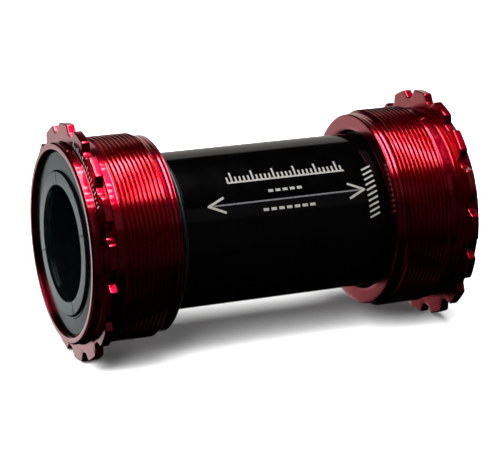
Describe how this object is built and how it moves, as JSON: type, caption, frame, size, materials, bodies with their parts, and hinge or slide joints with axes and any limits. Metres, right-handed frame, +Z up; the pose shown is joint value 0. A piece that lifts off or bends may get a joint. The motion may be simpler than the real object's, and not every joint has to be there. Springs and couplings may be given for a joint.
{
  "type": "bottom bracket",
  "caption": "Threaded external-cup bottom bracket: two notched red cups with sealed ball bearings, joined by a telescoping black centre sleeve, for a 24 mm crank spindle.",
  "frame": {"origin": "on the spindle axis, halfway between the two cups", "axes": "+X along the spindle axis towards the right cup, +Z up"},
  "size_m": [0.0908, 0.052, 0.052],
  "materials": {
    "red_anodised": "satin",
    "black_anodised": "satin",
    "black_cover": "satin",
    "bearing_steel": "polished",
    "seal_rubber": "matte",
    "cage_plastic": "satin",
    "ball_ceramic": "polished"
  },
  "bodies": {
    "sleeve": {"center_sleeve": "black_anodised", "left_sleeve_o_ring": "seal_rubber", "right_sleeve_o_ring": "seal_rubber"},
    "left_cup": {"left_cup": "red_anodised", "left_dust_cover": "black_cover", "left_outer_race": "bearing_steel", "left_outboard_bearing_seal": "seal_rubber", "left_inboard_bearing_seal": "seal_rubber"},
    "left_spindle_sleeve": {"left_spindle_sleeve": "black_cover", "left_inner_race": "bearing_steel"},
    "left_balls": {"left_ball_cage": "cage_plastic", "left_ball_01": "ball_ceramic", "left_ball_02": "ball_ceramic", "left_ball_03": "ball_ceramic", "left_ball_04": "ball_ceramic", "left_ball_05": "ball_ceramic", "left_ball_06": "ball_ceramic", "left_ball_07": "ball_ceramic", "left_ball_08": "ball_ceramic", "left_ball_09": "ball_ceramic", "left_ball_10": "ball_ceramic", "left_ball_11": "ball_ceramic", "left_ball_12": "ball_ceramic", "left_ball_13": "ball_ceramic", "left_ball_14": "ball_ceramic", "left_ball_15": "ball_ceramic", "left_ball_16": "ball_ceramic", "left_ball_17": "ball_ceramic"},
    "right_cup": {"right_cup": "red_anodised", "right_dust_cover": "black_cover", "right_outer_race": "bearing_steel", "right_outboard_bearing_seal": "seal_rubber", "right_inboard_bearing_seal": "seal_rubber"},
    "right_spindle_sleeve": {"right_spindle_sleeve": "black_cover", "right_inner_race": "bearing_steel"},
    "right_balls": {"right_ball_cage": "cage_plastic", "right_ball_01": "ball_ceramic", "right_ball_02": "ball_ceramic", "right_ball_03": "ball_ceramic", "right_ball_04": "ball_ceramic", "right_ball_05": "ball_ceramic", "right_ball_06": "ball_ceramic", "right_ball_07": "ball_ceramic", "right_ball_08": "ball_ceramic", "right_ball_09": "ball_ceramic", "right_ball_10": "ball_ceramic", "right_ball_11": "ball_ceramic", "right_ball_12": "ball_ceramic", "right_ball_13": "ball_ceramic", "right_ball_14": "ball_ceramic", "right_ball_15": "ball_ceramic", "right_ball_16": "ball_ceramic", "right_ball_17": "ball_ceramic"}
  },
  "joints": [
    {"name": "left_cup_slide", "type": "slide", "parent": "sleeve", "child": "left_cup", "axis": [-1, 0, 0], "range_m": [-0.00175, 0.00475]},
    {"name": "left_spindle_spin", "type": "hinge", "parent": "left_cup", "child": "left_spindle_sleeve", "pos_m": [-0.0398, 0, 0], "axis": [1, 0, 0], "continuous": true},
    {"name": "left_ball_spin", "type": "hinge", "parent": "left_cup", "child": "left_balls", "pos_m": [-0.0398, 0, 0], "axis": [1, 0, 0], "continuous": true},
    {"name": "right_cup_slide", "type": "slide", "parent": "sleeve", "child": "right_cup", "axis": [1, 0, 0], "range_m": [-0.00175, 0.00475]},
    {"name": "right_spindle_spin", "type": "hinge", "parent": "right_cup", "child": "right_spindle_sleeve", "pos_m": [0.0398, 0, 0], "axis": [1, 0, 0], "continuous": true},
    {"name": "right_ball_spin", "type": "hinge", "parent": "right_cup", "child": "right_balls", "pos_m": [0.0398, 0, 0], "axis": [1, 0, 0], "continuous": true}
  ],
  "couplings": [
    {"joint": "left_ball_spin", "follows": "left_spindle_spin", "ratio": 0.4435},
    {"joint": "right_ball_spin", "follows": "right_spindle_spin", "ratio": 0.4435}
  ]
}
